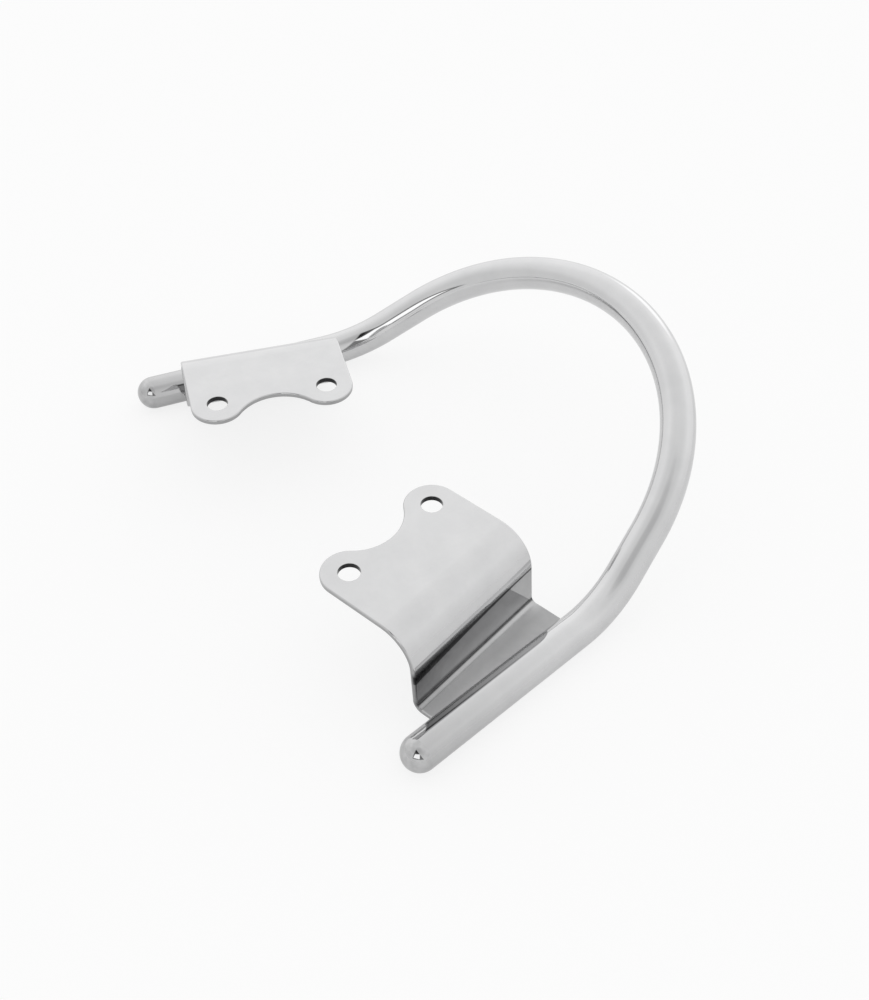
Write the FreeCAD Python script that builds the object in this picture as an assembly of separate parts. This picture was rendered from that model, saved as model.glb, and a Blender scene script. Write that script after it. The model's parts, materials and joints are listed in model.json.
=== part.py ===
import FreeCAD, Part
import math
import os

# Motorcycle passenger grab handle: one bent tube with a joggled bracket welded to each leg.
# X points to the motorcycle's left, Y to the rear and Z up. The origin is midway between the two
# front bolt holes, on the plane where the brackets seat. Millimetres and degrees.

# Tube, along its centreline
TUBE_DIAMETER = 16.0
TUBE_WALL = 1.5
TUBE_DROP = 35.7  # seat plane down to the axis of the legs
LEG_OVERHANG = 7.9  # front bolt holes forward to the tube's ends
LEG_LENGTH = 90.0
LEG_ANGLE = 11.0  # the legs close in towards the rear
ELBOW_RADIUS = 60.0
FLANK_LENGTH = 20.0
FLANK_ANGLE = 18.0  # the flanks close in, measured in the plane of the loop
LOOP_RADIUS = 100.0
LOOP_TILT = 33.0  # rise of the loop's plane

# Domed plugs that close the tube's ends
SPIGOT_LENGTH = 8.0
SPIGOT_CLEARANCE = 0.1

# Brackets, one sheet each
SHEET = 2.5
HOLE_DIAMETER = 9.5
HOLE_SPACING = 50.8  # front to rear, along a hole line
FRONT_HOLE_PITCH = 121.6  # left to right
HOLE_LINE_ANGLE = 17.0  # the hole lines close in towards the rear
EAR_RADIUS = 12.1
SADDLE_DEPTH = 11.9  # hollow between the ears, below their tips
BEND_RADIUS = 15.0  # inside of the bend from the seat to the wall
WALL_ANGLE = 86.0  # turn of that bend, which leaves the wall a little short of upright
FOOT_RADIUS = 2.5  # inside of the bend from the wall to the foot
FOOT_WIDTH = 5.6  # flat of the foot where it is narrowest, from its bend to the tube

# Weld beads above and below each foot
BEAD_RADIUS = 1.6
BEAD_INSET = 3.0  # bracket's side to the end of a bead

TUBE_RADIUS = TUBE_DIAMETER / 2
BORE_RADIUS = TUBE_RADIUS - TUBE_WALL
BRACKET_WIDTH = HOLE_SPACING + 2 * EAR_RADIUS
UP = FreeCAD.Vector(0, 0, 1)


def lean(angle, tilt):
    """Unit heading towards the rear that closes in by angle, in a plane that rises by tilt."""
    side, ahead = math.sin(math.radians(angle)), math.cos(math.radians(angle))
    rise = math.radians(tilt)
    return FreeCAD.Vector(-side, ahead * math.cos(rise), ahead * math.sin(rise))


LEG_HEADING = lean(LEG_ANGLE, 0)
FLANK_HEADING = lean(FLANK_ANGLE, LOOP_TILT)


def leg_end():
    """Centre of the left leg's open end, placed so that the loop closes on the middle plane."""
    elbow_reach = ELBOW_RADIUS * math.tan(LEG_HEADING.getAngle(FLANK_HEADING) / 2)
    to_loop = (LEG_HEADING * (LEG_LENGTH + elbow_reach)
               + FLANK_HEADING * (elbow_reach + FLANK_LENGTH))
    half_width = LOOP_RADIUS * math.cos(math.radians(FLANK_ANGLE))
    return FreeCAD.Vector(half_width - to_loop.x, -LEG_OVERHANG, -TUBE_DROP)


def half_tube(radius):
    """Solid bar along the left half of the tube, from the leg's end to the middle of the loop."""
    point = leg_end()
    face = Part.Face(Part.Wire(Part.makeCircle(radius, point, LEG_HEADING)))

    leg = face.extrude(LEG_HEADING * LEG_LENGTH)
    point += LEG_HEADING * LEG_LENGTH
    face.translate(LEG_HEADING * LEG_LENGTH)

    turn = math.degrees(LEG_HEADING.getAngle(FLANK_HEADING))
    axis = LEG_HEADING.cross(FLANK_HEADING).normalize()
    centre = point + axis.cross(LEG_HEADING) * ELBOW_RADIUS
    elbow = face.revolve(centre, axis, turn)
    face.rotate(centre, axis, turn)
    point = centre - axis.cross(FLANK_HEADING) * ELBOW_RADIUS

    flank = face.extrude(FLANK_HEADING * FLANK_LENGTH)
    point += FLANK_HEADING * FLANK_LENGTH
    face.translate(FLANK_HEADING * FLANK_LENGTH)

    axis = FreeCAD.Rotation(FreeCAD.Vector(1, 0, 0), LOOP_TILT).multVec(UP)
    centre = point + axis.cross(FLANK_HEADING) * LOOP_RADIUS
    loop = face.revolve(centre, axis, 90 - FLANK_ANGLE)
    return leg.multiFuse([elbow, flank, loop])


def mirrored(shape):
    """The same piece on the right-hand side."""
    return shape.mirror(FreeCAD.Vector(0, 0, 0), FreeCAD.Vector(1, 0, 0))


def whole_bar(radius):
    """Solid bar along the whole centreline of the tube."""
    half = half_tube(radius)
    return half.fuse(mirrored(half)).removeSplitter().Solids[0]


def end_cap():
    """Left end's plug: a half-round dome with a spigot in the bore, turned about the leg."""
    spigot_radius = BORE_RADIUS - SPIGOT_CLEARANCE
    slant = TUBE_RADIUS * math.sqrt(0.5)
    tip = FreeCAD.Vector(-TUBE_RADIUS, 0, 0)
    rim = FreeCAD.Vector(0, TUBE_RADIUS, 0)
    dome = Part.Arc(tip, FreeCAD.Vector(-slant, slant, 0), rim).toShape()
    spigot = Part.makePolygon([rim,
                               FreeCAD.Vector(0, spigot_radius, 0),
                               FreeCAD.Vector(SPIGOT_LENGTH, spigot_radius, 0),
                               FreeCAD.Vector(SPIGOT_LENGTH, 0, 0),
                               tip])
    section = Part.Face(Part.Wire([dome] + spigot.Edges))
    along = FreeCAD.Vector(1, 0, 0)
    cap = section.revolve(FreeCAD.Vector(0, 0, 0), along, 360)
    cap.Placement = FreeCAD.Placement(leg_end(), FreeCAD.Rotation(along, LEG_HEADING))
    return cap


# A bracket is drawn about the middle of its hole line, at the seat: x out to the tube, y along
# the hole line to the rear. SEAT puts that drawing in place on the left.
HOLE_LINE_TURN = FreeCAD.Rotation(UP, HOLE_LINE_ANGLE)
FRONT_HOLE = FreeCAD.Vector(FRONT_HOLE_PITCH / 2, 0, 0)
TO_MIDDLE = HOLE_LINE_TURN.multVec(FreeCAD.Vector(0, HOLE_SPACING / 2, 0))
SEAT = FreeCAD.Placement(FRONT_HOLE + TO_MIDDLE, HOLE_LINE_TURN)


def leg_line(y):
    """Point of the leg's axis at y of the bracket's drawing."""
    start = SEAT.inverse().multVec(leg_end())
    heading = SEAT.Rotation.inverted().multVec(LEG_HEADING)
    return start + heading * ((y - start.y) / heading.y)


def joggle_reach():
    """How far the joggle reaches out, from the end of the seat to the flat of the foot."""
    ahead, down = math.cos(math.radians(WALL_ANGLE)), math.sin(math.radians(WALL_ANGLE))
    radii = BEND_RADIUS + SHEET + FOOT_RADIUS
    wall = (TUBE_DROP + SHEET / 2 - radii * (1 - ahead)) / down
    return radii * down + wall * ahead


def seat_reach():
    """Hole line out to the bend, so that the foot has its width at its narrow end."""
    side = BRACKET_WIDTH / 2
    tube_side = min(leg_line(-side).x, leg_line(side).x) - TUBE_RADIUS
    return tube_side - FOOT_WIDTH - joggle_reach()


def around(centre, radius, angle):
    """Point of the bracket's x-z profile, at an angle from x towards z about a centre."""
    spot = FreeCAD.Vector(math.cos(math.radians(angle)), 0, math.sin(math.radians(angle)))
    return centre + spot * radius


def arc(centre, radius, first, last):
    """Arc of the profile between two angles."""
    middle = around(centre, radius, (first + last) / 2)
    return Part.Arc(around(centre, radius, first), middle, around(centre, radius, last)).toShape()


def profile_side(lift, inner, outer):
    """One side of the sheet's profile, lifted from its underside: seat, bend, wall, bend, foot."""
    seat_end = seat_reach()
    bend_centre = FreeCAD.Vector(seat_end, 0, -BEND_RADIUS)
    foot_centre = FreeCAD.Vector(seat_end + joggle_reach(), 0, FOOT_RADIUS + SHEET / 2 - TUBE_DROP)
    bend_side = BEND_RADIUS + lift
    foot_side = FOOT_RADIUS + SHEET - lift
    foot = foot_centre.z - foot_side
    seat_line = Part.makeLine(FreeCAD.Vector(inner, 0, lift), FreeCAD.Vector(seat_end, 0, lift))
    bend = arc(bend_centre, bend_side, 90, 90 - WALL_ANGLE)
    wall_line = Part.makeLine(around(bend_centre, bend_side, 90 - WALL_ANGLE),
                              around(foot_centre, foot_side, 270 - WALL_ANGLE))
    foot_bend = arc(foot_centre, foot_side, 270 - WALL_ANGLE, 270)
    foot_line = Part.makeLine(FreeCAD.Vector(foot_centre.x, 0, foot), FreeCAD.Vector(outer, 0, foot))
    return [seat_line, bend, wall_line, foot_bend, foot_line]


def bent_sheet():
    """The sheet with its joggle, over the bracket's width and as far out as the leg's axis."""
    inner = -2 * EAR_RADIUS
    outer = leg_line(BRACKET_WIDTH / 2).x + TUBE_RADIUS
    under = profile_side(0, inner, outer)
    top = profile_side(SHEET, inner, outer)
    ends = [Part.makeLine(under[0].firstVertex().Point, top[0].firstVertex().Point),
            Part.makeLine(under[-1].lastVertex().Point, top[-1].lastVertex().Point)]
    profile = Part.Face(Part.Wire(Part.__sortEdges__(under + top + ends)))
    profile.translate(FreeCAD.Vector(0, -BRACKET_WIDTH / 2, 0))
    return profile.extrude(FreeCAD.Vector(0, BRACKET_WIDTH, 0))


def outline():
    """Plan of a bracket: two ears, the saddle between them, and straight sides out to the leg."""
    hole_y = HOLE_SPACING / 2
    rise = EAR_RADIUS - SADDLE_DEPTH
    saddle_radius = (hole_y ** 2 + rise ** 2 - EAR_RADIUS ** 2) / (2 * SADDLE_DEPTH)
    saddle_x = -rise - saddle_radius
    share = EAR_RADIUS / (EAR_RADIUS + saddle_radius)
    touch = FreeCAD.Vector(share * saddle_x, hole_y * (1 - share), 0)
    turn = math.atan2(touch.y - hole_y, touch.x)
    middle = (math.pi / 2 + turn % (2 * math.pi)) / 2
    ear_tip = FreeCAD.Vector(EAR_RADIUS * math.cos(middle), hole_y + EAR_RADIUS * math.sin(middle), 0)
    side = FreeCAD.Vector(0, BRACKET_WIDTH / 2, 0)
    corner = FreeCAD.Vector(leg_line(side.y).x, side.y, 0)
    far_corner = FreeCAD.Vector(leg_line(-side.y).x, -side.y, 0)

    def other(point):
        return FreeCAD.Vector(point.x, -point.y, 0)
    edges = [Part.makeLine(corner, side),
             Part.Arc(side, ear_tip, touch).toShape(),
             Part.Arc(touch, FreeCAD.Vector(-rise, 0, 0), other(touch)).toShape(),
             Part.Arc(other(touch), other(ear_tip), other(side)).toShape(),
             Part.makeLine(other(side), far_corner),
             Part.makeLine(far_corner, corner)]
    return Part.Face(Part.Wire(edges))


def bracket(tube_bar):
    """Left bracket, its foot cut to seat on the side of the tube."""
    height = TUBE_DROP + 2 * SHEET
    plan = outline()
    plan.translate(FreeCAD.Vector(0, 0, -height))
    sheet = bent_sheet().common(plan.extrude(UP * (2 * height)))
    for y in (-HOLE_SPACING / 2, HOLE_SPACING / 2):
        hole = Part.makeCylinder(HOLE_DIAMETER / 2, 3 * SHEET, FreeCAD.Vector(0, y, -SHEET))
        sheet = sheet.cut(hole)
    sheet.Placement = SEAT.multiply(sheet.Placement)
    return sheet.cut(tube_bar).Solids[0]


def bead(level, tube_bar, sheet):
    """Weld bead with round ends, in the corner between the tube and one face of the foot."""
    aside = math.sqrt(TUBE_RADIUS ** 2 - level ** 2)
    corner = FreeCAD.Vector(-aside, 0, level)
    reach = BRACKET_WIDTH / 2 - BEAD_INSET
    spread = FreeCAD.Placement(FreeCAD.Vector(0, 0, 0), FreeCAD.Rotation(UP, LEG_ANGLE))
    shift = spread.multVec(corner)
    ends = [SEAT.multVec(leg_line(y)) + shift for y in (-reach, reach)]
    run = ends[1] - ends[0]
    bar = Part.makeCylinder(BEAD_RADIUS, run.Length, ends[0], run)
    rounds = [Part.makeSphere(BEAD_RADIUS, end) for end in ends]
    return bar.multiFuse(rounds).removeSplitter().cut(tube_bar).cut(sheet).Solids[0]


def pair(left):
    """A left-hand piece together with its mirror image."""
    return Part.makeCompound([left, mirrored(left)])


def main():
    os.makedirs("parts", exist_ok=True)
    tube_bar = whole_bar(TUBE_RADIUS)
    left_bracket = bracket(tube_bar)
    pieces = {
        "grab_tube": tube_bar.cut(whole_bar(BORE_RADIUS)),
        "end_caps": pair(end_cap()),
        "bracket_left": left_bracket,
        "bracket_right": mirrored(left_bracket),
        "welds_upper": pair(bead(SHEET / 2, tube_bar, left_bracket)),
        "welds_lower": pair(bead(-SHEET / 2, tube_bar, left_bracket)),
    }
    for name, shape in pieces.items():
        shape.exportStep(f"parts/{name}.step")


main()
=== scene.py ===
import json
import math

import bmesh
import bpy
from bpy.props import FloatProperty, FloatVectorProperty, IntProperty, PointerProperty
from mathutils import Matrix, Vector


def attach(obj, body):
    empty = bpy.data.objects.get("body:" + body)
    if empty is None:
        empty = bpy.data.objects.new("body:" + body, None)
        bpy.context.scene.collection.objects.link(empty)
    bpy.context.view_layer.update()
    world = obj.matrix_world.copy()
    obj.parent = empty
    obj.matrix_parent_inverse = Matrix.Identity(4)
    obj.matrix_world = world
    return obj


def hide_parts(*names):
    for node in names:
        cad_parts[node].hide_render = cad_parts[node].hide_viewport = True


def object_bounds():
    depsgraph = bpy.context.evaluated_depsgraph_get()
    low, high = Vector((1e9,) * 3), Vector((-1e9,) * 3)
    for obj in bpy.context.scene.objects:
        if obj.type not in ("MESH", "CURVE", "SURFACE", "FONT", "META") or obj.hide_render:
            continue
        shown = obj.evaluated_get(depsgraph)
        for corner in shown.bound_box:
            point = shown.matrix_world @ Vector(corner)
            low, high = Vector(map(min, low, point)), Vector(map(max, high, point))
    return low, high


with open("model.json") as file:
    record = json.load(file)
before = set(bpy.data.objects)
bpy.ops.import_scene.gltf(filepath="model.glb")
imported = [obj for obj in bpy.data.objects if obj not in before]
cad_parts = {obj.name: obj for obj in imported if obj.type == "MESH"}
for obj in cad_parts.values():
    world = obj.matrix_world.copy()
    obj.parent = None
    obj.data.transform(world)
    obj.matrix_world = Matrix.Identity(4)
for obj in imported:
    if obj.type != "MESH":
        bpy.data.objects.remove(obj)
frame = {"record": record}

bl_info = {
    "name": "Passenger Grab Handle",
    "version": (1, 0, 0),
    "blender": (4, 5, 0),
    "location": "View3D > Sidebar > Grab Handle",
    "description": "Polished steel grab handle for a motorcycle, with two welded brackets",
    "category": "Add Mesh",
}

# X points to the motorcycle's left, Y to the rear and Z up. The origin is midway between the two
# front bolt holes, on the plane where the brackets seat. Metres and radians, apart from the hole sizes
# that the record gives in millimetres.
CAD_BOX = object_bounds()
MOUNTS = {mount["name"]: mount for mount in frame["record"]["mounts"]}
FRONT_PITCH = MOUNTS["front_bolts"]["dims"]["spacing_x_mm"]
REAR_PITCH = MOUNTS["rear_bolts"]["dims"]["spacing_x_mm"]
HOLE_RADIUS = MOUNTS["front_bolts"]["dims"]["hole_r_mm"]
HOLE_STEP_IN = (FRONT_PITCH - REAR_PITCH) / 2
HOLE_STEP_BACK = MOUNTS["rear_bolts"]["pos_m"][1] * 1000
FLOOR_LEVEL = CAD_BOX[0].z
MILLIMETRE = 0.001
TOUCH = 0.0001 * MILLIMETRE
LEFT_SIDE = Matrix.Identity(4)
RIGHT_SIDE = Matrix.Scale(-1, 4, Vector((1, 0, 0)))

# How finely the pieces are divided
BEND_POINTS = 240
EAR_STEPS = 56
SADDLE_STEPS = 44
HOLE_STEPS = 64
RIM_STEPS = 5
SHEET_STEPS = (40, 60, 28, 8)
JOGGLE_SLICES = 30
BEAD_STEP = 0.25 * MILLIMETRE
BEAD_SIDES = 18
BEAD_MERGE = 0.001 * MILLIMETRE
SHARP_EDGE = math.radians(40)
SHARP_BEAD = math.radians(50)

# How dark the joggle is painted: partly raw steel that the polishing wheel doesn't reach, and partly
# painted shade and painted dark reflections. A pair is at its rear end and at its front end. The wedge
# is the dark part of the wall under the first bend, mostly a painted dark reflection, and its depth is a
# share of the wall. At the wall's top it has the share WEDGE_TOP of its darkness, and it has all of it
# within the share WEDGE_FADE of its depth.
WEDGE_DEPTH = (0.08, 0.4)
WEDGE_CURVE = 1.5
WEDGE_EDGE = 0.025
WEDGE_TOP = 0.3
WEDGE_FADE = 0.6
# The wall, its rear end, the strip below the inside corner and the foot are darkened by raw steel and
# painted shade; the inside corner by painted shade alone
WALL_RAW_AND_SHADE = (0.07, 0.65)
REAR_END_RAW_AND_SHADE = 0.2
REAR_END_WIDTH = 0.2
CORNER_PLACE = 0.3
CORNER_SHADE = 0.75
CORNER_FADE = 0.35
STRIP_RAW_AND_SHADE = (0.2, 0.45)
FOOT_RAW_AND_SHADE_BESIDE = (0.2, 0.0)
FOOT_RAW_AND_SHADE_BEYOND = (0.4, 0.1)
FOOT_FADE = 4 * MILLIMETRE

# Patterns of the finishes, in repeats per metre where nothing else is said
HAZE_SCALE = 55
WAVE_SCALE = 38
LINE_SHARE = 0.1
NOISE_SPREAD = {"From Min": 0.3, "From Max": 0.7}
RAW_ROUGHNESS = 0.06
TUBE_LINES_AROUND = 900
TUBE_LINES_ALONG = 60
TUBE_END_FADE = 70 * MILLIMETRE
DOME_LINES = (900, 120, 900)
DOME_SPOTS = 300
SHEET_LINES = (1100, 45, 1100)
SHEET_SPOTS = 240
SHEET_BLOTCH = {"To Min": 0.97, "To Max": 1.1}
WELD_LINES = (1500, 400, 1500)
WELD_SPOTS = 600
WELD_RAW = 0.9

# Patches of the room's light, in degrees: turn to the left of the view, height above the floor, and
# the angles from there within which a patch is whole and beyond which it is gone
FRONT_PATCH = (-12, 38, 10, 95)
PANEL_PATCH = (-26, 14, 5, 16)
SIDE_PATCH = (120, 10, 10, 50)
BACK_PATCH = (170, 66, 4, 25)
TOP_PATCH = (0, 90, 10, 60)
# Corners of the lamp and of the dark around it, by turn and height, clockwise as the handle sees them
LAMP_CORNERS = ((146, 41), (143, 19), (180, 19), (181, 45))
SHADE_CORNERS = ((130, 64), (140, 13), (203, 13))
LAMP_EDGE = 1.5

# Floor and camera
FLOOR_RADIUS = 4.0
FLOOR_SIDES = 96
# Distances ahead over which the floor's painted glow in mirrored rays rises
FLOOR_FADE = {"From Min": 0.05, "From Max": 0.5}
SENSOR_WIDTH = 36
CLIP_START = 0.01

# Where the nodes lie in their editor
NODE_COLUMNS = 12
NODE_WIDTH = 180
NODE_HEIGHT = 220


def length(name, description, millimetres):
    """A length that the user can change, given in millimetres."""
    return FloatProperty(name=name, description=description, default=millimetres * MILLIMETRE,
                         min=0, precision=5, subtype="DISTANCE", unit="LENGTH")


def angle(name, description, degrees):
    """An angle that the user can change, given in degrees."""
    return FloatProperty(name=name, description=description, default=math.radians(degrees),
                         subtype="ANGLE", unit="ROTATION")


def share(name, description, default, most=1.0):
    """A plain number from nothing up to the most."""
    return FloatProperty(name=name, description=description, default=default,
                         min=0, max=most, precision=3, subtype="FACTOR")


def colour(name, description, default):
    """A colour, in linear light."""
    return FloatVectorProperty(name=name, description=description, default=default,
                               size=3, min=0, max=1, subtype="COLOR")


def clamp(value):
    """The value, kept between 0 and 1."""
    return min(max(value, 0), 1)


def between(pair, part):
    """A number part of the way from the first of a pair to the second."""
    return pair[0] + (pair[1] - pair[0]) * part


class TubeSizes(bpy.types.PropertyGroup):
    """Sizes of the bent tube and its domed ends"""
    diameter: length("Diameter", "Outside diameter of the tube", 16)
    wall: length("Wall", "Thickness of the tube's wall", 1.5)
    drop: length("Drop", "Seat plane down to the axis of the legs", 35.7)
    overhang: length("Overhang", "Front bolt holes forward to the tube's ends", 7.9)
    leg_length: length("Leg length", "Straight leg from its end to the elbow", 90)
    leg_angle: angle("Leg angle", "How far the legs close in towards the rear", 11)
    elbow_radius: length("Elbow radius", "Centreline radius of the elbows", 60)
    flank_length: length("Flank length", "Straight run between elbow and loop", 20)
    flank_angle: angle("Flank angle", "How far the flanks close in, in the plane of the loop", 18)
    loop_radius: length("Loop radius", "Centreline radius of the loop", 100)
    loop_tilt: angle("Loop tilt", "Rise of the loop's plane", 33)
    spigot_length: length("Spigot length", "Depth of an end plug in the bore", 8)
    spigot_clearance: length("Spigot clearance", "Gap between spigot and bore", 0.1)
    sides: IntProperty(name="Sides", description="Faces around the tube", default=72, min=12)
    step: length("Step", "Distance between sections along the tube", 2)


class BracketSizes(bpy.types.PropertyGroup):
    """Sizes of one bent bracket"""
    sheet: length("Sheet", "Thickness of the sheet", 2.5)
    hole_diameter: length("Hole diameter", "Bolt holes", 2 * HOLE_RADIUS)
    hole_spacing: length("Hole spacing", "Front hole to rear hole",
                         math.hypot(HOLE_STEP_IN, HOLE_STEP_BACK))
    front_pitch: length("Front pitch", "Front hole to front hole, left to right", FRONT_PITCH)
    line_angle: angle("Hole line angle", "How far the hole lines close in towards the rear",
                      math.degrees(math.atan2(HOLE_STEP_IN, HOLE_STEP_BACK)))
    ear_radius: length("Ear radius", "Rounding of the ears about their holes", 12.1)
    saddle_depth: length("Saddle depth", "Hollow between the ears", 11.9)
    bend_radius: length("Bend radius", "Inside of the bend from the seat to the wall", 15)
    wall_angle: angle("Wall angle", "How far the wall turns down from the seat", 86)
    foot_radius: length("Foot radius", "Inside of the bend from the wall to the foot", 2.5)
    foot_width: length("Foot width", "Flat of the foot where it is narrowest", 5.6)
    rim_round: length("Rim rounding", "Rounding of the sheet's polished rims", 0.7)
    hole_round: length("Hole rounding", "Rounding of the bolt holes' edges", 0.2)


class WeldSizes(bpy.types.PropertyGroup):
    """Sizes of the weld beads"""
    radius: length("Bead radius", "Size of a bead across the corner that it fills", 1.6)
    inset: length("Bead inset", "Bracket's side to the end of a bead", 3)
    ripple_pitch: length("Ripple pitch", "Distance between the ripples of an unpolished bead", 1.5)
    ripple_depth: share("Ripple depth", "Depth of the ripples as a share of the bead", 0.16)


class FinishLook(bpy.types.PropertyGroup):
    """Look of the polished steel"""
    bright: colour("Bright steel", "Polished steel at its brightest", (0.655, 0.655, 0.658))
    dull: colour("Dull steel", "Polished steel at its dullest", (0.605, 0.606, 0.611))
    # Colour of raw steel, also used for the painted shade and dark reflections in the joggles and for
    # the darker tube ends
    raw_and_shade: colour("Raw steel", "Steel that the polishing wheel doesn't reach", (0.03, 0.03, 0.031))
    raw_rim: share("Raw rims", "How raw the rims of the brackets are", 0.38)
    # Darkness of the joggles: raw steel where no wheel fits, with painted shade and painted dark
    # reflections
    raw_and_shaded_joggles: share("Raw joggles", "How raw the brackets' joggles are where no wheel fits", 0.97)
    gloss_low: share("Least roughness", "Roughness where the polish is best", 0.045)
    gloss_high: share("Most roughness", "Roughness where polish haze is left", 0.095)
    # Darkens the tube's ends and the domes, fading out along the legs
    end_darkening: share("Raw ends", "How raw the tube's ends are, fading out along its legs", 0.2)
    foot_rough: share("Foot roughness", "Roughness that welding leaves on the feet", 0.34)
    wave: length("Waviness", "Height of the faint waves that polishing leaves", 0.012)
    scratch: length("Scratch depth", "Depth of the fine polishing lines", 0.0002)


class StageLook(bpy.types.PropertyGroup):
    """Floor, light and camera"""
    floor_white: share("Floor white", "Paleness of the floor", 0.9)
    floor_glow: share("Floor glow", "Part of the floor's white that takes no shadow", 0.8)
    floor_mirrored: share("Mirrored glow", "The same part where the steel mirrors the floor", 0.3)
    room: share("Room light", "Level of the light from all around", 0.92, 4)
    front: share("Front light", "Gain of the broad light ahead of the camera", 0.27, 4)
    panel: share("Panel", "Gain of the small panel low in the broad light", 0.35, 4)
    side: share("Side shade", "Loss of light to the left", 0.06, 4)
    shade: share("Lamp shade", "Darkness around the small lamp", 0.66, 4)
    back_shade: share("Back shade", "Loss of light above the camera", 0.16, 4)
    top_shade: share("Top shade", "Loss of light straight above", 0.18, 4)
    lamp: share("Lamp", "Level of the small lamp behind the camera", 1.6, 8)
    camera_place: FloatVectorProperty(name="Camera place", description="Where the camera stands",
                                      default=(0.3890, -0.1655, 0.4125), subtype="TRANSLATION")
    camera_aim: FloatVectorProperty(name="Camera aim", description="Direction of the camera's view",
                                    default=(-0.5965, 0.3746, -0.7098), subtype="DIRECTION")
    lens: FloatProperty(name="Lens", description="Focal length in millimetres", default=49.05,
                        min=1, unit="CAMERA")


# The lines of the handle, worked out from its sizes

def lean(turn, tilt):
    """Unit heading to the rear that closes in by turn, in a plane that rises by tilt."""
    return Vector((-math.sin(turn), math.cos(turn) * math.cos(tilt), math.cos(turn) * math.sin(tilt)))


def tube_corners(tube):
    """Left end, left elbow's corner and the point behind the loop where both flanks would meet."""
    leg, flank = lean(tube.leg_angle, 0), lean(tube.flank_angle, tube.loop_tilt)
    elbow_reach = tube.elbow_radius * math.tan(leg.angle(flank) / 2)
    to_elbow = leg * (tube.leg_length + elbow_reach)
    loop_reach = tube.loop_radius / math.tan(tube.flank_angle)
    to_meeting = flank * (elbow_reach + tube.flank_length + loop_reach)
    half_width = -(to_elbow + to_meeting).x
    end = Vector((half_width, -tube.overhang, -tube.drop))
    return end, end + to_elbow, end + to_elbow + to_meeting


def seat_place(bracket):
    """Place of the left bracket's drawing: x out to the tube, y along the hole line to the rear."""
    turn = Matrix.Rotation(bracket.line_angle, 4, "Z")
    front_hole = Vector((bracket.front_pitch / 2, 0, 0))
    middle = front_hole + turn @ Vector((0, bracket.hole_spacing / 2, 0))
    return Matrix.Translation(middle) @ turn


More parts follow.
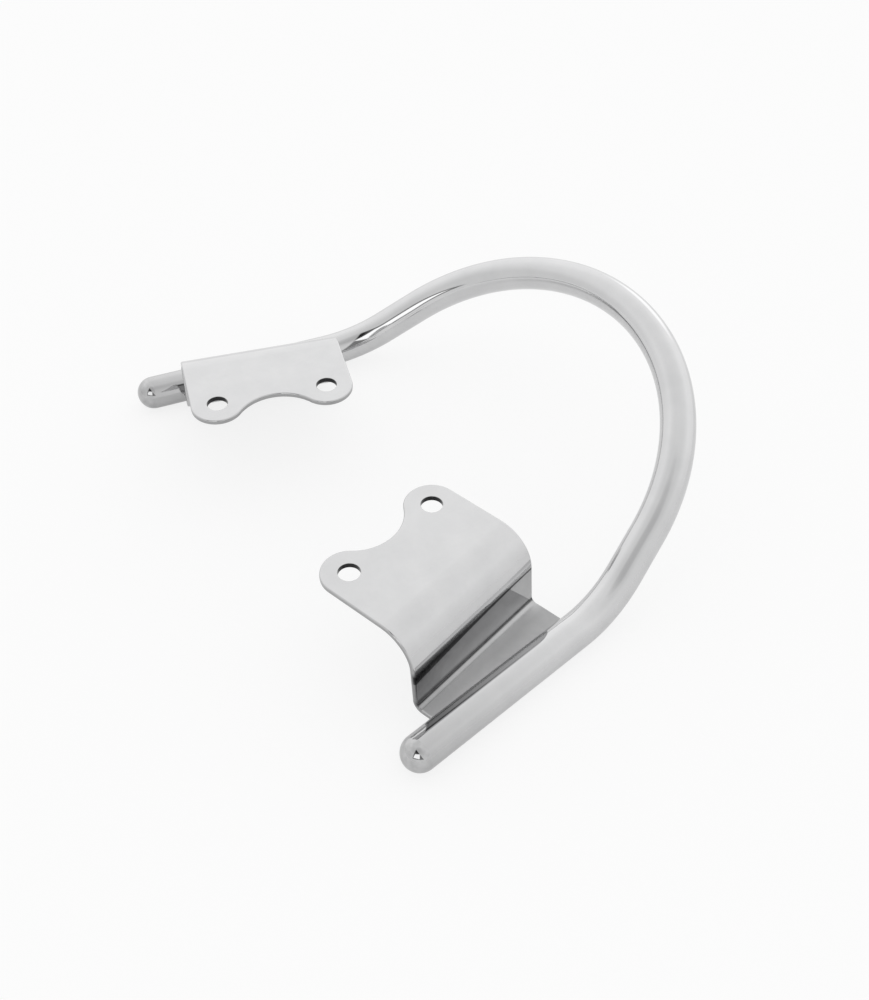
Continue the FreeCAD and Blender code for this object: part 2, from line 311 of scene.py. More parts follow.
class SheetLine:
    """The middle line of the bent sheet, across the bracket, and the leg that it ends on."""

    def __init__(self, bracket, tube):
        self.sheet = bracket.sheet
        self.half_width = bracket.hole_spacing / 2 + bracket.ear_radius
        self.tube_radius = tube.diameter / 2
        back = seat_place(bracket).inverted()
        self.leg_start = back @ tube_corners(tube)[0]
        self.leg_heading = back.to_3x3() @ lean(tube.leg_angle, 0)
        tube_side = min(self.leg_x(side) for side in (-self.half_width, self.half_width))
        self.slope = bracket.wall_angle
        self.bend = bracket.bend_radius + self.sheet / 2
        self.foot_bend = bracket.foot_radius + self.sheet / 2
        both, run, rise = self.bend + self.foot_bend, math.cos(self.slope), math.sin(self.slope)
        wall = (tube.drop - bracket.bend_radius - self.foot_bend + both * run) / rise
        span = both * rise + wall * run
        self.seat_end = tube_side - self.tube_radius - bracket.foot_width - span
        self.bend_centre = Vector((self.seat_end, 0, -bracket.bend_radius))
        self.foot_centre = Vector((self.seat_end + span, 0, self.foot_bend - tube.drop))
        self.wall_start = self.seat_end + self.bend * self.slope
        self.wall_end = self.wall_start + wall
        self.foot_start = self.wall_end + self.foot_bend * self.slope
        self.corner = self.wall_end + CORNER_PLACE * self.foot_bend * self.slope

    def leg_x(self, y):
        """Leg's axis at y of the drawing."""
        return self.leg_start.x + (y - self.leg_start.y) * self.leg_heading.x / self.leg_heading.y

    def foot_edge(self, y, height):
        """Length along the sheet at which it meets the tube, at a height above its middle."""
        aside = math.sqrt(self.tube_radius ** 2 - height ** 2)
        slant = self.leg_heading.y / self.leg_heading.xy.length
        return self.foot_start + self.leg_x(y) - aside / slant - self.foot_centre.x

    def turn_at(self, along):
        """How far the sheet has turned down at a length along it."""
        down = min(max((along - self.seat_end) / self.bend, 0), self.slope)
        up = min(max((along - self.wall_end) / self.foot_bend, 0), self.slope)
        return down - up

    def bent(self, along, y, height):
        """Place on the bent sheet of a point of the flat sheet."""
        turn = self.turn_at(along)
        lift = Vector((math.sin(turn), 0, math.cos(turn)))
        if along <= self.seat_end:
            spot = Vector((along, 0, self.sheet / 2))
        elif along <= self.wall_end:
            spot = self.bend_centre + lift * self.bend
            past = max(along - self.wall_start, 0)
            spot += Vector((math.cos(self.slope), 0, -math.sin(self.slope))) * past
        else:
            past = max(along - self.foot_start, 0)
            spot = self.foot_centre - lift * self.foot_bend + Vector((past, 0, 0))
        return spot + lift * height + Vector((0, y, 0))

    def past_corner(self, along):
        """How far a length along the sheet is from the joggle's corner to the flat of the foot."""
        return (along - self.corner) / (self.foot_start - self.corner)

    def joggle_raw_and_shade(self, along, y):
        """How dark the joggle is painted at a place, raw steel with painted shade and painted dark
        reflections: darkest in a wedge that deepens towards its front end.
        """
        front = clamp((1 - y / self.half_width) / 2)
        if along > self.foot_start - TOUCH:
            beside, beyond = between(FOOT_RAW_AND_SHADE_BESIDE, front), between(FOOT_RAW_AND_SHADE_BEYOND, front)
            return between((beside, beyond), clamp((along - self.foot_start) / FOOT_FADE))
        if along > self.wall_end - TOUCH:
            near_corner = clamp(1 - self.past_corner(along) / CORNER_FADE)
            return between((between(STRIP_RAW_AND_SHADE, front), CORNER_SHADE), near_corner)
        down = (along - self.wall_start) / (self.wall_end - self.wall_start)
        wedge = between(WEDGE_DEPTH, front ** WEDGE_CURVE)
        least = between(WALL_RAW_AND_SHADE, front) + REAR_END_RAW_AND_SHADE * clamp(1 - front / REAR_END_WIDTH)
        inside = clamp((wedge - down) / WEDGE_EDGE)
        return clamp(WEDGE_TOP + down / (WEDGE_FADE * wedge)) * between((least, 1), inside)

    def cuts(self):
        """Lengths along the sheet at which its bends and its wall are divided."""
        stops = (self.seat_end, self.wall_start, self.wall_end, self.foot_start,
                 self.foot_start + FOOT_FADE)
        places = [stops[-1]]
        for first, last, steps in zip(stops, stops[1:], SHEET_STEPS):
            places += [first + (last - first) * k / steps for k in range(steps)]
        return places


# Making and placing the pieces

def new_object(name, mesh):
    """A mesh object at the origin."""
    piece = bpy.data.objects.new(name, mesh)
    bpy.context.scene.collection.objects.link(piece)
    return piece


def mesh_from(bm, name):
    """Mesh of a closed shape, with its faces turned outwards."""
    bmesh.ops.recalc_face_normals(bm, faces=bm.faces[:])
    mesh = bpy.data.meshes.new(name)
    bm.to_mesh(mesh)
    bm.free()
    return mesh


def fit_piece(piece, node):
    """Lets a finished piece stand for its solid, and ride with the handle."""
    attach(piece, "root")
    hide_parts(node)


def settle(piece, sharp):
    """Turns a piece's modifiers into plain mesh, smooth apart from edges over the sharp angle."""
    evaluated = piece.evaluated_get(bpy.context.evaluated_depsgraph_get())
    mesh = bpy.data.meshes.new_from_object(evaluated)
    mesh.name = piece.name
    piece.modifiers.clear()
    piece.data = mesh
    mesh.shade_smooth()
    mesh.set_sharp_from_angle(angle=sharp)


class Tree:
    """A node tree that is filled from left to right."""

    def __init__(self, tree):
        self.tree = tree
        self.count = 0

    def add(self, kind, inputs=None, **settings):
        """Adds a node, sets its own settings, then sets or links its inputs."""
        node = self.tree.nodes.new(kind)
        row, column = divmod(self.count, NODE_COLUMNS)
        node.location = (NODE_WIDTH * column, -NODE_HEIGHT * row)
        self.count += 1
        for key, value in settings.items():
            setattr(node, key, value)
        for key, value in (inputs or {}).items():
            socket = node.inputs[key]
            if isinstance(value, bpy.types.NodeSocket):
                self.tree.links.new(value, socket)
            else:
                socket.default_value = value
        return node


def shape_tree(name, sizes):
    """A geometry tree with one input for each size, and the sockets to fill in."""
    tree = bpy.data.node_groups.new(name, "GeometryNodeTree")
    tree.interface.new_socket("Geometry", in_out="INPUT", socket_type="NodeSocketGeometry")
    for size, value in sizes.items():
        kind = "NodeSocketInt" if isinstance(value, int) else "NodeSocketFloat"
        tree.interface.new_socket(size, in_out="INPUT", socket_type=kind)
    tree.interface.new_socket("Geometry", in_out="OUTPUT", socket_type="NodeSocketGeometry")
    made = Tree(tree)
    return made, made.add("NodeGroupInput").outputs


def grow(piece, made, shape, material, sizes):
    """Ends a geometry tree with its material, and puts it on the piece with its sizes."""
    real = made.add("GeometryNodeRealizeInstances", {"Geometry": shape})
    painted = made.add("GeometryNodeSetMaterial", {"Geometry": real.outputs[0], "Material": material})
    made.add("NodeGroupOutput", {"Geometry": painted.outputs[0]})
    modifier = piece.modifiers.new("Shape", "NODES")
    modifier.node_group = made.tree
    for item in made.tree.interface.items_tree:
        if item.in_out == "INPUT" and item.name in sizes:
            modifier[item.identifier] = sizes[item.name]


def line_mesh(name, runs):
    """Edges along one or more runs of points."""
    bm = bmesh.new()
    for run in runs:
        points = [bm.verts.new(point) for point in run]
        for near, far in zip(points, points[1:]):
            bm.edges.new((near, far))
    mesh = bpy.data.meshes.new(name)
    bm.to_mesh(mesh)
    bm.free()
    return mesh


# Finishes

def new_finish(name):
    """A material with an empty node tree."""
    material = bpy.data.materials.new(name)
    material.use_nodes = True
    material.node_tree.nodes.clear()
    return material, Tree(material.node_tree)


def noise(made, place, scale, detail, roughness=0.5):
    """Soft random pattern, from about 0.3 to 0.7."""
    return made.add("ShaderNodeTexNoise", {"Vector": place, "Scale": scale, "Detail": detail,
                                           "Roughness": roughness}).outputs["Fac"]


def steel(made, look, place, grain, raw_and_shade, matt=None):
    """Polished steel: haze and waves on place, polishing lines on grain, darker where the steel is raw
    and where shade and dark reflections are painted.
    """
    haze = noise(made, place, HAZE_SCALE, detail=4, roughness=0.6)
    lines = noise(made, grain, scale=1, detail=2)
    wave = noise(made, place, WAVE_SCALE, detail=1, roughness=0.4)
    dull = made.add("ShaderNodeMath", {0: haze, 1: 1 - LINE_SHARE}, operation="MULTIPLY")
    patch = made.add("ShaderNodeMath", {0: lines, 1: LINE_SHARE, 2: dull.outputs[0]},
                     operation="MULTIPLY_ADD").outputs[0]
    gloss = made.add("ShaderNodeMapRange", {"Value": patch, **NOISE_SPREAD,
                                            "To Min": look.gloss_low, "To Max": look.gloss_high})
    tone = made.add("ShaderNodeMapRange", {"Value": patch, **NOISE_SPREAD,
                                           "To Min": 0.0, "To Max": 1.0})
    clean = made.add("ShaderNodeMix", {"Factor": tone.outputs["Result"], "A": (*look.bright, 1),
                                       "B": (*look.dull, 1)}, data_type="RGBA")
    tint = made.add("ShaderNodeMix", {"Factor": raw_and_shade, "A": clean.outputs["Result"],
                                      "B": (*look.raw_and_shade, 1)}, data_type="RGBA")
    rough = made.add("ShaderNodeMath", {0: raw_and_shade, 1: RAW_ROUGHNESS, 2: gloss.outputs["Result"]},
                     operation="MULTIPLY_ADD").outputs[0]
    if matt is not None:
        rough = made.add("ShaderNodeMath", {0: matt, 1: look.foot_rough, 2: rough},
                         operation="MULTIPLY_ADD").outputs[0]
    swell = made.add("ShaderNodeBump", {"Height": wave, "Strength": 1.0, "Distance": look.wave})
    scratch = made.add("ShaderNodeBump", {"Height": lines, "Strength": 1.0,
                                          "Distance": look.scratch, "Normal": swell.outputs[0]})
    metal = made.add("ShaderNodeBsdfPrincipled", {"Base Color": tint.outputs["Result"],
                                                  "Metallic": 1.0, "Roughness": rough,
                                                  "Normal": scratch.outputs[0]})
    made.add("ShaderNodeOutputMaterial", {"Surface": metal.outputs[0]})


def tube_finish(look):
    """Steel tube, polished with a belt that leaves faint lines along it."""
    material, made = new_finish("polished_tube_steel")
    place = made.add("ShaderNodeTexCoord").outputs["Object"]
    around = made.add("ShaderNodeAttribute", attribute_name="around").outputs["Vector"]
    along = made.add("ShaderNodeAttribute", attribute_name="along").outputs["Fac"]
    ring = made.add("ShaderNodeVectorMath", {0: around, 1: (TUBE_LINES_AROUND,) * 3},
                    operation="MULTIPLY")
    run = made.add("ShaderNodeMath", {0: along, 1: TUBE_LINES_ALONG}, operation="MULTIPLY")
    to_end = made.add("ShaderNodeAttribute", attribute_name="to_end").outputs["Fac"]
    # Darker towards the tube's ends, fading out over TUBE_END_FADE
    raw_and_shade = made.add("ShaderNodeMapRange", {"Value": to_end, "From Min": 0.0,
                                          "From Max": TUBE_END_FADE,
                                          "To Min": look.end_darkening, "To Max": 0.0})
    parts = made.add("ShaderNodeSeparateXYZ", {"Vector": ring.outputs[0]})
    grain = made.add("ShaderNodeCombineXYZ", {"X": parts.outputs["X"], "Y": parts.outputs["Y"],
                                              "Z": run.outputs[0]})
    steel(made, look, place, grain.outputs[0], raw_and_shade.outputs["Result"])
    return material


def dome_finish(look):
    """Steel of the turned end plugs, polished to match the tube."""
    material, made = new_finish("polished_dome_steel")
    place = made.add("ShaderNodeTexCoord").outputs["Object"]
    grain = made.add("ShaderNodeMapping", {"Vector": place, "Scale": DOME_LINES})
    spots = noise(made, place, DOME_SPOTS, detail=2)
    # The spots are about a half on average, so twice the share makes the domes as dark as the tube's
    # ends
    raw_and_shade = made.add("ShaderNodeMath", {0: spots, 1: 2 * look.end_darkening}, operation="MULTIPLY")
    steel(made, look, place, grain.outputs[0], raw_and_shade.outputs[0])
    return material


def sheet_finish(look, line_angle):
    """Bracket steel, with polishing lines along the hole line, rawer rims and holes, and joggle walls
    darkened by raw steel with painted shade and painted dark reflections.
    """
    material, made = new_finish("polished_sheet_steel")
    place = made.add("ShaderNodeTexCoord").outputs["Object"]
    grain = made.add("ShaderNodeMapping", {"Vector": place, "Rotation": (0, 0, -line_angle),
                                           "Scale": SHEET_LINES})
    raw_and_shade = made.add("ShaderNodeAttribute", attribute_name="raw_and_shade").outputs["Fac"]
    matt = made.add("ShaderNodeAttribute", attribute_name="matt").outputs["Fac"]
    spots = noise(made, place, SHEET_SPOTS, detail=3)
    blotch = made.add("ShaderNodeMapRange", {"Value": spots, **NOISE_SPREAD, **SHEET_BLOTCH})
    uneven = made.add("ShaderNodeMath", {0: raw_and_shade, 1: blotch.outputs["Result"]},
                      operation="MULTIPLY", use_clamp=True)
    steel(made, look, place, grain.outputs[0], uneven.outputs[0], matt)
    return material


def weld_finish(look):
    """Weld metal, brushed bright after welding."""
    material, made = new_finish("brushed_weld_steel")
    place = made.add("ShaderNodeTexCoord").outputs["Object"]
    grain = made.add("ShaderNodeMapping", {"Vector": place, "Scale": WELD_LINES})
    spots = noise(made, place, WELD_SPOTS, detail=3)
    raw_and_shade = made.add("ShaderNodeMath", {0: spots, 1: WELD_RAW}, operation="MULTIPLY")
    steel(made, look, place, grain.outputs[0], raw_and_shade.outputs[0])
    return material


# Operators, each after the functions that only it uses

class GRABHANDLE_OT_tube(bpy.types.Operator):
    """Bend the grab tube along its line of legs, elbows, flanks and loop"""
    bl_idname = "grab_handle.tube"
    bl_label = "Grab Tube"

    def execute(self, context):
        tube = context.scene.grab_tube
        corners = list(tube_corners(tube))
        corners += [RIGHT_SIDE @ corner for corner in corners[-2::-1]]
        piece = new_object("bent_tube", line_mesh("bent_tube", [corners]))
        sizes = {"Tube Radius": tube.diameter / 2, "Elbow Radius": tube.elbow_radius,
                 "Loop Radius": tube.loop_radius, "Step": tube.step, "Sides": tube.sides}
        made, given = shape_tree("bent tube", sizes)
        line = made.add("GeometryNodeMeshToCurve", {"Mesh": given["Geometry"]})
        here = made.add("GeometryNodeInputIndex")
        middle = made.add("FunctionNodeCompare", {2: here.outputs[0], 3: len(corners) // 2},
                          data_type="INT", operation="EQUAL")
        bend = made.add("GeometryNodeSwitch", {"Switch": middle.outputs[0],
                                               "False": given["Elbow Radius"],
                                               "True": given["Loop Radius"]}, input_type="FLOAT")
        bent = made.add("GeometryNodeFilletCurve", {"Curve": line.outputs[0], "Count": BEND_POINTS,
                                                    "Radius": bend.outputs[0],
                                                    "Limit Radius": False}, mode="POLY")
        even = made.add("GeometryNodeResampleCurve", {"Curve": bent.outputs[0],
                                                      "Length": given["Step"]}, mode="LENGTH")
        run = made.add("GeometryNodeSplineParameter")
        path = made.add("GeometryNodeStoreNamedAttribute", {"Geometry": even.outputs[0],
                                                            "Name": "along",
                                                            "Value": run.outputs["Length"]},
                        data_type="FLOAT", domain="POINT")
        whole = made.add("GeometryNodeSplineLength")
        left = made.add("ShaderNodeMath", {0: whole.outputs["Length"], 1: run.outputs["Length"]},
                        operation="SUBTRACT")
        nearer = made.add("ShaderNodeMath", {0: left.outputs[0], 1: run.outputs["Length"]},
                          operation="MINIMUM")
        path = made.add("GeometryNodeStoreNamedAttribute", {"Geometry": path.outputs[0],
                                                            "Name": "to_end",
                                                            "Value": nearer.outputs[0]},
                        data_type="FLOAT", domain="POINT")
        ring = made.add("GeometryNodeCurvePrimitiveCircle", {"Resolution": given["Sides"],
                                                             "Radius": given["Tube Radius"]})
        spot = made.add("GeometryNodeInputPosition")
        section = made.add("GeometryNodeStoreNamedAttribute", {"Geometry": ring.outputs[0],
                                                               "Name": "around",
                                                               "Value": spot.outputs[0]},
                           data_type="FLOAT_VECTOR", domain="POINT")
        skin = made.add("GeometryNodeCurveToMesh", {"Curve": path.outputs[0],
                                                    "Profile Curve": section.outputs[0]})
        material = tube_finish(context.scene.grab_finish)
        grow(piece, made, skin.outputs[0], material, sizes)
        wall = piece.modifiers.new("Wall", "SOLIDIFY")
        wall.thickness = tube.wall
        wall.offset = -1
        settle(piece, SHARP_EDGE)
        fit_piece(piece, "grab_tube")
        return {"FINISHED"}


class GRABHANDLE_OT_ends(bpy.types.Operator):
    """Turn the domed plugs that close the tube's ends"""
    bl_idname = "grab_handle.ends"
    bl_label = "Domed Ends"

    def execute(self, context):
        tube = context.scene.grab_tube
        radius = tube.diameter / 2
        spigot = radius - tube.wall - tube.spigot_clearance
        rows = tube.sides // 2
        turns = [math.pi / 2 * k / rows for k in range(rows + 1)]
        profile = [(-radius * math.cos(turn), radius * math.sin(turn)) for turn in turns]
        profile += [(0, spigot), (tube.spigot_length, spigot), (tube.spigot_length, 0)]
        heading = lean(tube.leg_angle, 0).to_track_quat("Z", "Y").to_matrix().to_4x4()
        place = Matrix.Translation(tube_corners(tube)[0]) @ heading
        bm = bmesh.new()
        for side in (LEFT_SIDE, RIGHT_SIDE):
            points = [bm.verts.new(side @ place @ Vector((out, 0, deep))) for deep, out in profile]
            edges = [bm.edges.new(pair) for pair in zip(points, points[1:])]
            axis = (side @ place).to_3x3() @ Vector((0, 0, 1))
            bmesh.ops.spin(bm, geom=points + edges, cent=side @ place.translation, axis=axis,
                           angle=math.tau, steps=tube.sides, use_merge=True)
        bmesh.ops.remove_doubles(bm, verts=bm.verts[:], dist=radius / 10000)
        mesh = mesh_from(bm, "domed_ends")
        mesh.shade_smooth()
        mesh.set_sharp_from_angle(angle=SHARP_EDGE)
        mesh.materials.append(dome_finish(context.scene.grab_finish))
        fit_piece(new_object("domed_ends", mesh), "end_caps")
        return {"FINISHED"}


def arc_points(centre, radius, first, last, steps, sign=1):
    """Points of an arc with the directions out of the sheet, to the centre where the sign is -1."""
    for k in range(steps):
        turn = first + (last - first) * k / steps
        way = Vector((math.cos(turn), math.sin(turn)))
        yield Vector(centre) + way * radius, way * sign


def bracket_loops(bracket, line):
    """Rim of the flat sheet and of its two holes, each a closed run of points and directions."""
    hole_y, ear = bracket.hole_spacing / 2, bracket.ear_radius
    rise = ear - bracket.saddle_depth
    saddle = (hole_y ** 2 + rise ** 2 - ear ** 2) / (2 * bracket.saddle_depth)
    saddle_x = -rise - saddle
    touch = math.atan2(hole_y, -saddle_x)
    quarter, half = math.pi / 2, math.pi
    rear_ear = arc_points((0, hole_y), ear, quarter, half + touch, EAR_STEPS)
    hollow = arc_points((saddle_x, 0), saddle, touch, -touch, SADDLE_STEPS, -1)
    front_ear = arc_points((0, -hole_y), ear, half - touch, half + quarter, EAR_STEPS)
    rim = [*rear_ear, *hollow, *front_ear, (Vector((0, -line.half_width)), Vector((0, -1)))]
    holes = [list(arc_points((0, y), bracket.hole_diameter / 2, 0, -math.tau, HOLE_STEPS, -1))
             for y in (-hole_y, hole_y)]
    return rim, holes


def rim_rows(sheet, rounding):
    """Rounded section of a rim, from underside to top: height, inset and slope of each row."""
    flat = sheet / 2 - rounding
    rows = []
    for side in (-1, 1):
        for k in range(RIM_STEPS + 1):
            slope = math.pi / 2 * (k / RIM_STEPS - (side < 0))
            height = side * flat + rounding * math.sin(slope)
            inset = rounding * (1 - math.cos(slope))
            rows.append((height, inset, slope))
    return rows


def flat_bracket(bracket, line, look):
    """The sheet before it is bent, as a closed mesh that carries its normals and how raw it is, with the
    joggle's painted shade and painted dark reflections.
    """
    bm = bmesh.new()
    normal = bm.verts.layers.float_vector.new("normal")
    raw_and_shade = bm.verts.layers.float.new("raw_and_shade")
    matt = bm.verts.layers.float.new("matt")
    outer, holes = bracket_loops(bracket, line)

    def point(along, y, height, way, rawness):
        vert = bm.verts.new((along, y, height))
        vert[normal] = way
        vert[raw_and_shade] = rawness * (1 - abs(way.z))
        return vert

    loops = []
    for loop in (outer, *holes):
        rawness, rounding = 1.0, bracket.hole_round
        if loop is outer:
            rawness, rounding = look.raw_rim, bracket.rim_round
        grid = []
        for height, inset, slope in rim_rows(bracket.sheet, rounding):
            row = []
            for spot, way in loop:
                lift = Vector((way.x * math.cos(slope), way.y * math.cos(slope), math.sin(slope)))
                edge = spot - way * inset
                row.append(point(edge.x, edge.y, height, lift, rawness))
            if loop is outer:
                for side in (-1, 1):
                    y = side * (line.half_width - inset)
                    lift = Vector((0, side * math.cos(slope), math.sin(slope)))
                    row.append(point(line.foot_edge(y, height), y, height, lift, rawness))
            grid.append(row)
        loops.append(grid)
    for grid in loops:
        for low, high in zip(grid, grid[1:]):
            for k in range(len(low)):
                bm.faces.new((low[k - 1], low[k], high[k], high[k - 1]))
    for level in (0, -1):
        edges = [bm.edges.get((grid[level][k - 1], grid[level][k])) for grid in loops
                 for k in range(len(grid[level]))]
        bmesh.ops.triangle_fill(bm, use_beauty=True, edges=edges)
    for along in line.cuts():
        bmesh.ops.bisect_plane(bm, geom=bm.verts[:] + bm.edges[:] + bm.faces[:], dist=TOUCH,
                               plane_co=(along, 0, 0), plane_no=(1, 0, 0))
    for k in range(1, JOGGLE_SLICES):
        joggle = [face for face in bm.faces if face.calc_center_median().x > line.seat_end]
        parts = {part for face in joggle for part in (face, *face.edges, *face.verts)}
        bmesh.ops.bisect_plane(bm, geom=list(parts), dist=TOUCH, plane_no=(0, 1, 0),
                               plane_co=(0, line.half_width * (2 * k / JOGGLE_SLICES - 1), 0))
    for vert in bm.verts:
        if vert.co.z > 0:
            # The joggle's raw steel, painted shade and painted dark reflections
            vert[raw_and_shade] = max(vert[raw_and_shade], look.raw_and_shaded_joggles * line.joggle_raw_and_shade(vert.co.x, vert.co.y))
            vert[matt] = clamp(line.past_corner(vert.co.x))
    return bm, normal


class GRABHANDLE_OT_brackets(bpy.types.Operator):
    """Cut, round and bend the two brackets"""
    bl_idname = "grab_handle.brackets"
    bl_label = "Brackets"

    def execute(self, context):
        bracket = context.scene.grab_bracket
        line = SheetLine(bracket, context.scene.grab_tube)
        place = seat_place(bracket)
        for name, side in (("left", LEFT_SIDE), ("right", RIGHT_SIDE)):
            bm, normal = flat_bracket(bracket, line, context.scene.grab_finish)
            put = side @ place
            normals = []
            for vert in bm.verts:
                turn = Matrix.Rotation(line.turn_at(vert.co.x), 3, "Y")
                normals.append((put.to_3x3() @ turn @ vert[normal]).normalized())
                vert.co = put @ line.bent(*vert.co)
            mesh = mesh_from(bm, f"bent_bracket_{name}")
            mesh.shade_smooth()
            mesh.normals_split_custom_set_from_vertices(normals)
            turn = bracket.line_angle if name == "left" else -bracket.line_angle
            mesh.materials.append(sheet_finish(context.scene.grab_finish, turn))
            fit_piece(new_object(f"bent_bracket_{name}", mesh), f"bracket_{name}")
        return {"FINISHED"}


def bead_shape(made, given):
    """Nodes of a bead: a filled corner along a line, thinner between ripples, with round ends."""
    def sum_of(kind, *values):
        return made.add("ShaderNodeMath", dict(enumerate(values)), operation=kind).outputs[0]

    line = made.add("GeometryNodeMeshToCurve", {"Mesh": given["Geometry"]})
    even = made.add("GeometryNodeResampleCurve", {"Curve": line.outputs[0],
                                                  "Length": BEAD_STEP}, mode="LENGTH")
    level = made.add("GeometryNodeSetCurveNormal", {"Curve": even.outputs[0]}, mode="Z_UP")
    run = made.add("GeometryNodeSplineParameter").outputs
    whole = made.add("GeometryNodeSplineLength").outputs["Length"]
    left = sum_of("SUBTRACT", whole, run["Length"])
    to_end = sum_of("MINIMUM", run["Length"], left)
    near = made.add("ShaderNodeMath", {0: to_end, 1: given["Bead Radius"]},
                    operation="DIVIDE", use_clamp=True).outputs[0]
    rounded = sum_of("SQRT", sum_of("MULTIPLY", near, sum_of("SUBTRACT", 2.0, near)))
    phase = sum_of("MULTIPLY", sum_of("DIVIDE", run["Length"], given["Ripple Pitch"]), math.pi)
    dip = sum_of("SUBTRACT", 1.0, sum_of("ABSOLUTE", sum_of("SINE", phase)))
    ripple = sum_of("SUBTRACT", 1.0, sum_of("MULTIPLY", dip, given["Ripple Depth"]))
    size = sum_of("MULTIPLY", rounded, ripple)
    path = made.add("GeometryNodeSetCurveRadius", {"Curve": level.outputs[0], "Radius": size})
    tilt = sum_of("ARCSINE", sum_of("DIVIDE", given["Foot Level"], given["Tube Radius"]))
    chord = sum_of("ARCSINE", sum_of("DIVIDE", given["Bead Radius"],
                                     sum_of("MULTIPLY", 2.0, given["Tube Radius"])))
    sweep = sum_of("ADD", sum_of("ADD", tilt, chord), math.pi / 2)
    corner = made.add("GeometryNodeCurveArc", {"Resolution": BEAD_SIDES,
                                               "Radius": given["Bead Radius"],
                                               "Start Angle": 0.0, "Sweep Angle": sweep,
                                               "Connect Center": True}, mode="RADIUS")
    facing = made.add("ShaderNodeCombineXYZ", {"X": 1.0, "Y": given["Facing"], "Z": 1.0})
    turned = made.add("GeometryNodeTransform", {"Geometry": corner.outputs[0],
                                                "Scale": facing.outputs[0]})
    skin = made.add("GeometryNodeCurveToMesh", {"Curve": path.outputs[0],
                                                "Profile Curve": turned.outputs[0]})
    closed = made.add("GeometryNodeMergeByDistance", {"Geometry": skin.outputs[0],
                                                      "Distance": BEAD_MERGE})
    return closed.outputs[0]


class GRABHANDLE_OT_welds(bpy.types.Operator):
    """Lay the weld beads above and below the feet"""
    bl_idname = "grab_handle.welds"
    bl_label = "Weld Beads"

    def execute(self, context):
        weld, bracket = context.scene.grab_weld, context.scene.grab_bracket
        tube = context.scene.grab_tube
        line = SheetLine(bracket, tube)
        place = seat_place(bracket)
        reach = line.half_width - weld.inset + weld.radius
        material = weld_finish(context.scene.grab_finish)
        radius, level = tube.diameter / 2, bracket.sheet / 2
        aside = math.sqrt(radius ** 2 - level ** 2)
        inward = Vector((-line.leg_heading.y, line.leg_heading.x, 0)).normalized()
        for name, up, depth in (("upper", 1, 0.0), ("lower", -1, weld.ripple_depth)):
            runs = []
            for side in (LEFT_SIDE, RIGHT_SIDE):
                ends = [Vector((line.leg_x(y), y, -tube.drop)) for y in (-reach, reach)]
                shift = inward * aside + Vector((0, 0, up * level))
                runs.append([side @ place @ (end + shift) for end in ends])
            runs[1].reverse()
            piece = new_object(f"{name}_beads", line_mesh(f"{name}_beads", runs))
            sizes = {"Bead Radius": weld.radius, "Tube Radius": radius, "Foot Level": level,
                     "Ripple Pitch": weld.ripple_pitch, "Ripple Depth": depth, "Facing": float(up)}
            made, given = shape_tree(f"{name} beads", sizes)
            skin = bead_shape(made, given)
            grow(piece, made, skin, material, sizes)
            settle(piece, SHARP_BEAD)
            fit_piece(piece, f"welds_{name}")
        return {"FINISHED"}


def seen_glow(made, straight, mirrored):
    """The floor's glow for rays that see it straight or through glass, and for mirrored rays."""
    rays = made.add("ShaderNodeLightPath").outputs
    clear = made.add("ShaderNodeMath", {0: rays["Is Camera Ray"], 1: rays["Is Transmission Ray"]},
                     operation="MAXIMUM")
    glow = made.add("ShaderNodeMath", {0: clear.outputs[0], 1: straight}, operation="MULTIPLY")
    return made.add("ShaderNodeMath", {0: rays["Is Glossy Ray"], 1: mirrored, 2: glow.outputs[0]},
                    operation="MULTIPLY_ADD").outputs[0]


def set_floor(look):
    """A wide pale floor that keeps a soft shadow, and that glows more further ahead in mirrored rays:
    painted light on the floor ahead.
    """
    bm = bmesh.new()
    bmesh.ops.create_circle(bm, cap_ends=True, radius=FLOOR_RADIUS, segments=FLOOR_SIDES)
    bmesh.ops.translate(bm, verts=bm.verts[:], vec=(0, 0, FLOOR_LEVEL))
    mesh = bpy.data.meshes.new("floor")
    bm.to_mesh(mesh)
    bm.free()
    floor = new_object("floor", mesh)
    material, made = new_finish("pale_floor")
    matt = made.add("ShaderNodeBsdfDiffuse", {"Color": (look.floor_white,) * 3 + (1,)})
    # Painted light on the floor: its glow in mirrored rays rises further ahead of the camera
    ahead = Vector(look.camera_aim).to_2d().normalized()
    place = made.add("ShaderNodeTexCoord").outputs["Object"]
    reach = made.add("ShaderNodeVectorMath", {0: place, 1: (*ahead, 0)}, operation="DOT_PRODUCT")
    painted_glow_ahead = made.add("ShaderNodeMapRange", {"Value": reach.outputs["Value"], **FLOOR_FADE,
                                                  "To Min": look.floor_mirrored, "To Max": 1.0},
                           interpolation_type="SMOOTHSTEP")
    white = made.add("ShaderNodeEmission", {"Color": (1, 1, 1, 1), "Strength": 1.0})
    part = seen_glow(made, look.floor_glow, painted_glow_ahead.outputs["Result"])
    both = made.add("ShaderNodeMixShader", {0: part, 1: matt.outputs[0], 2: white.outputs[0]})
    made.add("ShaderNodeOutputMaterial", {"Surface": both.outputs[0]})
    mesh.materials.append(material)


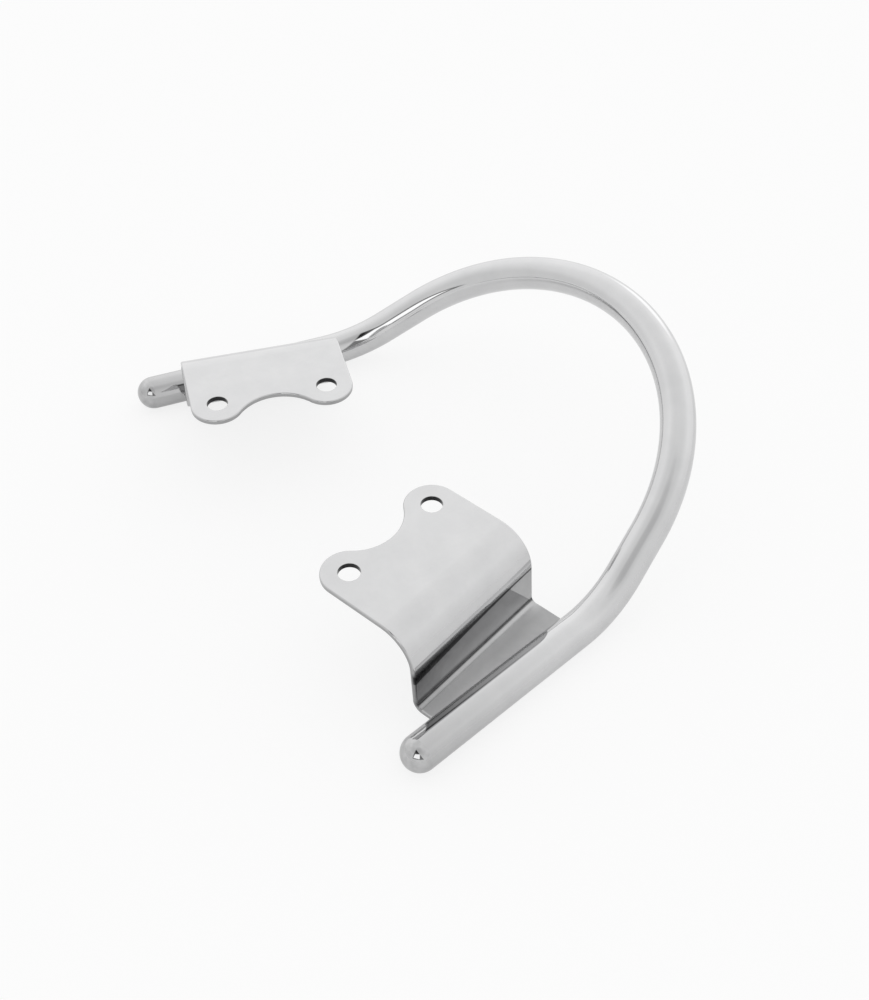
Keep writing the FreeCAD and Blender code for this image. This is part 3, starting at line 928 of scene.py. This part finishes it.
def set_room(look):
    """Light from all around: brighter ahead, shaded where the camera stands, with one small lamp."""
    world = bpy.data.worlds.new("studio")
    bpy.context.scene.world = world
    world.use_nodes = True
    world.node_tree.nodes.clear()
    made = Tree(world.node_tree)
    way = made.add("ShaderNodeTexCoord").outputs["Generated"]
    ahead = Vector(look.camera_aim).to_2d().normalized()
    aside = Vector((-ahead.y, ahead.x))

    def towards(turn, lift):
        """Direction at an angle to the left of the view and a height above the floor."""
        flat = ahead * math.cos(math.radians(turn)) + aside * math.sin(math.radians(turn))
        rise = math.radians(lift)
        return Vector((flat.x * math.cos(rise), flat.y * math.cos(rise), math.sin(rise)))

    def within(direction, low, high):
        """How far a ray's cosine to a direction has come from the low one to the high one."""
        near = made.add("ShaderNodeVectorMath", {0: way, 1: direction}, operation="DOT_PRODUCT")
        return made.add("ShaderNodeMapRange", {"Value": near.outputs["Value"], "From Min": low,
                                               "From Max": high, "To Min": 0.0, "To Max": 1.0},
                        interpolation_type="SMOOTHSTEP").outputs["Result"]

    def patch(turn, lift, inner, outer):
        """Soft round patch, whole within the inner angle and gone beyond the outer."""
        return within(towards(turn, lift), math.cos(math.radians(outer)),
                      math.cos(math.radians(inner)))

    def pane(corners):
        """Soft-edged patch with straight sides between its corners."""
        edge = math.sin(math.radians(LAMP_EDGE))
        whole = None
        for first, second in zip(corners, corners[1:] + corners[:1]):
            inward = towards(*first).cross(towards(*second)).normalized()
            inside = within(inward, -edge, edge)
            if whole is not None:
                inside = made.add("ShaderNodeMath", {0: whole, 1: inside},
                                  operation="MULTIPLY").outputs[0]
            whole = inside
        return whole

    patches = ((look.front, patch(*FRONT_PATCH)),
               (look.panel, patch(*PANEL_PATCH)),
               (-look.side, patch(*SIDE_PATCH)),
               (-look.shade, pane(SHADE_CORNERS)),
               (-look.back_shade, patch(*BACK_PATCH)),
               (-look.top_shade, patch(*TOP_PATCH)))
    level = look.room
    for gain, spot in patches:
        level = made.add("ShaderNodeMath", {0: spot, 1: gain, 2: level},
                         operation="MULTIPLY_ADD").outputs[0]
    lit = made.add("ShaderNodeMix", {"Factor": pane(LAMP_CORNERS), "A": level, "B": look.lamp})
    light = made.add("ShaderNodeBackground", {"Color": (1, 1, 1, 1),
                                              "Strength": lit.outputs["Result"]})
    white = made.add("ShaderNodeBackground", {"Color": (1, 1, 1, 1), "Strength": 1.0})
    straight = made.add("ShaderNodeLightPath").outputs["Is Camera Ray"]
    both = made.add("ShaderNodeMixShader", {0: straight, 1: light.outputs[0], 2: white.outputs[0]})
    made.add("ShaderNodeOutputWorld", {"Surface": both.outputs[0]})


class GRABHANDLE_OT_stage(bpy.types.Operator):
    """Set the pale floor, the soft light all around and the camera"""
    bl_idname = "grab_handle.stage"
    bl_label = "Stage"

    def execute(self, context):
        look = context.scene.grab_stage
        set_floor(look)
        set_room(look)
        camera = bpy.data.objects.new("camera", bpy.data.cameras.new("camera"))
        context.scene.collection.objects.link(camera)
        camera.data.lens = look.lens
        camera.data.sensor_width = SENSOR_WIDTH
        camera.data.clip_start = CLIP_START
        camera.location = look.camera_place
        camera.rotation_mode = "QUATERNION"
        camera.rotation_quaternion = Vector(look.camera_aim).to_track_quat("-Z", "Y")
        context.scene.camera = camera
        context.scene.view_settings.view_transform = "Standard"
        return {"FINISHED"}


class GRABHANDLE_PT_sizes(bpy.types.Panel):
    """Sizes and looks of the grab handle"""
    bl_idname = "GRABHANDLE_PT_sizes"
    bl_label = "Grab Handle"
    bl_space_type = "VIEW_3D"
    bl_region_type = "UI"
    bl_category = "Grab Handle"

    def draw(self, context):
        for operator, group in MAKERS:
            box = self.layout.box()
            box.operator(operator.bl_idname)
            sizes = getattr(context.scene, group)
            for name in sizes.__annotations__:
                box.prop(sizes, name)


GROUPS = {"grab_tube": TubeSizes, "grab_bracket": BracketSizes, "grab_weld": WeldSizes,
          "grab_finish": FinishLook, "grab_stage": StageLook}
MAKERS = ((GRABHANDLE_OT_tube, "grab_tube"), (GRABHANDLE_OT_ends, "grab_finish"),
          (GRABHANDLE_OT_brackets, "grab_bracket"), (GRABHANDLE_OT_welds, "grab_weld"),
          (GRABHANDLE_OT_stage, "grab_stage"))
CLASSES = (*GROUPS.values(), *(operator for operator, group in MAKERS), GRABHANDLE_PT_sizes)


def register():
    for cls in CLASSES:
        bpy.utils.register_class(cls)
    for name, group in GROUPS.items():
        setattr(bpy.types.Scene, name, PointerProperty(type=group))


def unregister():
    for name in GROUPS:
        delattr(bpy.types.Scene, name)
    for cls in reversed(CLASSES):
        bpy.utils.unregister_class(cls)


def main():
    register()
    make = bpy.ops.grab_handle
    make.tube()
    make.ends()
    make.brackets()
    make.welds()
    make.stage()


if __name__ == "__main__":
    main()
